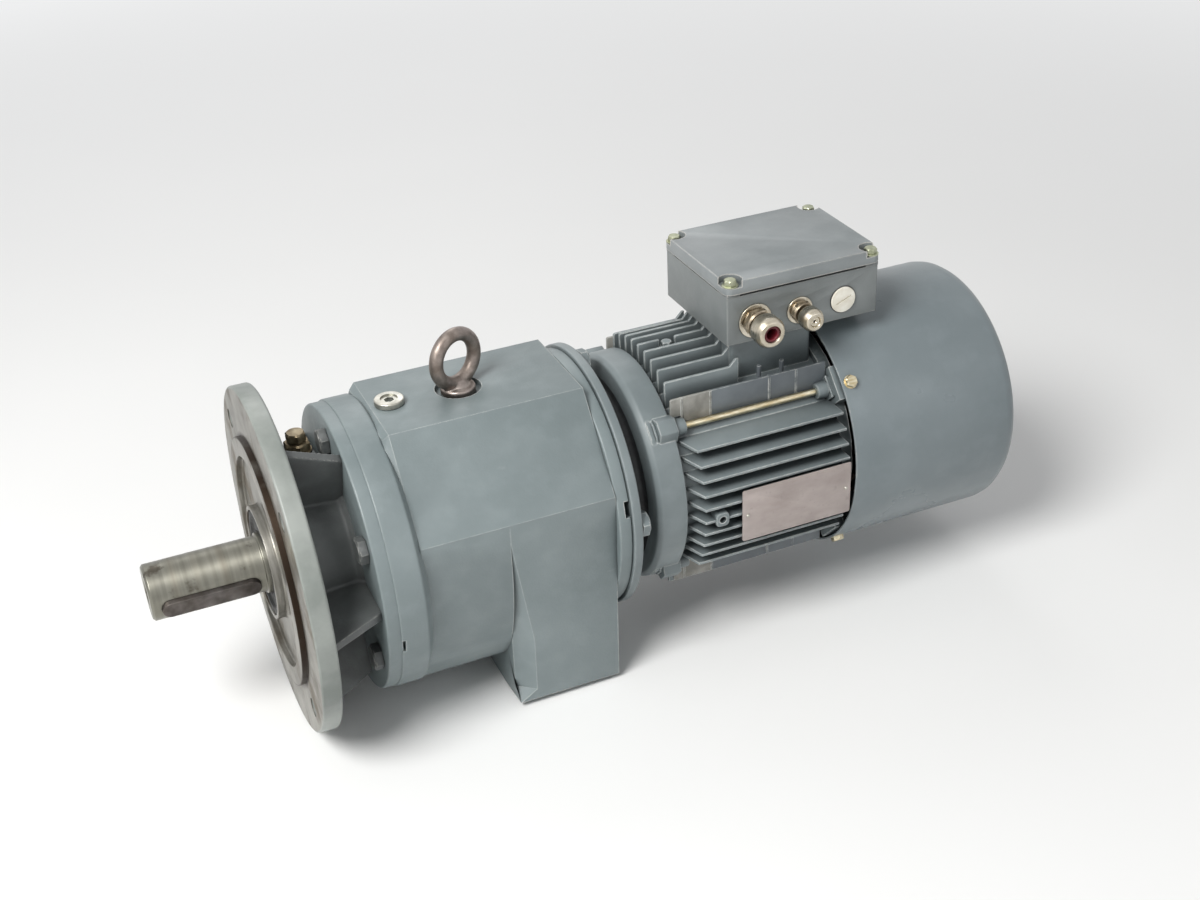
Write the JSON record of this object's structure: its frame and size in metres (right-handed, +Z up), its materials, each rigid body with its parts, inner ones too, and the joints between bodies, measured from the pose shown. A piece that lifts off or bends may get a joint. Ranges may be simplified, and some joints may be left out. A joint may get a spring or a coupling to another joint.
{
  "type": "brake gear motor",
  "caption": "Flange-mounted helical gear motor with a disc brake, finned motor frame, fan cowl and terminal box; its keyed output shaft points along -X.",
  "frame": {"origin": "centre of the output flange's mounting face, on the output shaft's axis", "axes": "+X along the shaft axis from the flange to the fan cowl, +Z up through the terminal box, +Y to the side away from the cable glands"},
  "size_m": [0.6456, 0.25, 0.283],
  "materials": {
    "painted_cast": "grey-green satin paint",
    "painted_aluminium": "grey-green satin paint over cast aluminium",
    "flange_cast": "worn paint over machined cast iron",
    "shaft_steel": "turned steel, oiled",
    "dark_steel": "dark oxide",
    "zinc": "yellow zinc",
    "brass": "aged",
    "nickel": "dull nickel plate",
    "copper": "enamelled copper",
    "rubber": "matt",
    "friction_lining": "bonded lining",
    "dark_plastic": "moulded",
    "white_plastic": "moulded",
    "plate_metal": "blank plate"
  },
  "bodies": {
    "frame": {"output_flange": "flange_cast", "output_bearing_front": "shaft_steel", "output_bearing_rear": "shaft_steel", "intermediate_bearing_front": "shaft_steel", "intermediate_bearing_rear": "shaft_steel", "motor_bearing_drive_end": "shaft_steel", "motor_bearing_brake_end": "shaft_steel", "eye_bolt": "dark_steel", "stator_core": "dark_steel", "brake_magnet": "dark_steel", "output_seal": "rubber", "input_seal": "rubber", "terminal_gasket": "rubber", "drive_end_shield": "painted_aluminium", "stator_frame": "painted_aluminium", "terminal_box": "painted_aluminium", "terminal_lid": "painted_aluminium", "gearbox_housing": "painted_cast", "rear_cover": "painted_cast", "brake_end_shield": "painted_cast", "fan_cowl": "painted_cast", "flange_bolt_1": "painted_cast", "flange_bolt_2": "painted_cast", "flange_bolt_3": "painted_cast", "flange_bolt_4": "painted_cast", "flange_bolt_5": "painted_cast", "flange_bolt_6": "painted_cast", "adapter_bolt_1": "painted_cast", "adapter_bolt_2": "painted_cast", "adapter_bolt_3": "painted_cast", "adapter_bolt_4": "painted_cast", "filler_plug": "zinc", "tie_rod_1": "zinc", "tie_rod_2": "zinc", "tie_rod_3": "zinc", "tie_rod_4": "zinc", "lid_screw_1": "zinc", "lid_screw_2": "zinc", "lid_screw_3": "zinc", "lid_screw_4": "zinc", "breather_plug": "brass", "stator_winding": "copper", "terminal_board": "dark_plastic", "gland_large": "nickel", "gland_small": "nickel", "blanking_plug": "white_plastic", "nameplate": "plate_metal"},
    "output": {"output_shaft": "shaft_steel", "output_key": "dark_steel", "output_gear": "shaft_steel"},
    "intermediate": {"intermediate_shaft": "shaft_steel", "intermediate_gear": "shaft_steel"},
    "rotor": {"rotor_shaft": "shaft_steel", "rotor_core": "dark_steel", "motor_pinion": "shaft_steel", "brake_hub": "shaft_steel", "brake_disc": "friction_lining", "fan": "dark_plastic"},
    "armature": {"armature_plate": "dark_steel"}
  },
  "joints": [
    {"name": "rotor_spin", "type": "hinge", "parent": "frame", "child": "rotor", "pos_m": [0.35, 0, 0.0034], "axis": [1, 0, 0], "continuous": true},
    {"name": "intermediate_spin", "type": "hinge", "parent": "frame", "child": "intermediate", "pos_m": [0.11, 0, -0.0616], "axis": [1, 0, 0], "continuous": true},
    {"name": "output_spin", "type": "hinge", "parent": "frame", "child": "output", "pos_m": [0, 0, 0], "axis": [1, 0, 0], "continuous": true},
    {"name": "armature_release", "type": "slide", "parent": "frame", "child": "armature", "axis": [1, 0, 0], "range_m": [0, 0.0004]}
  ],
  "couplings": [
    {"joint": "intermediate_spin", "follows": "rotor_spin", "ratio": -0.25},
    {"joint": "output_spin", "follows": "rotor_spin", "ratio": 0.078947}
  ]
}
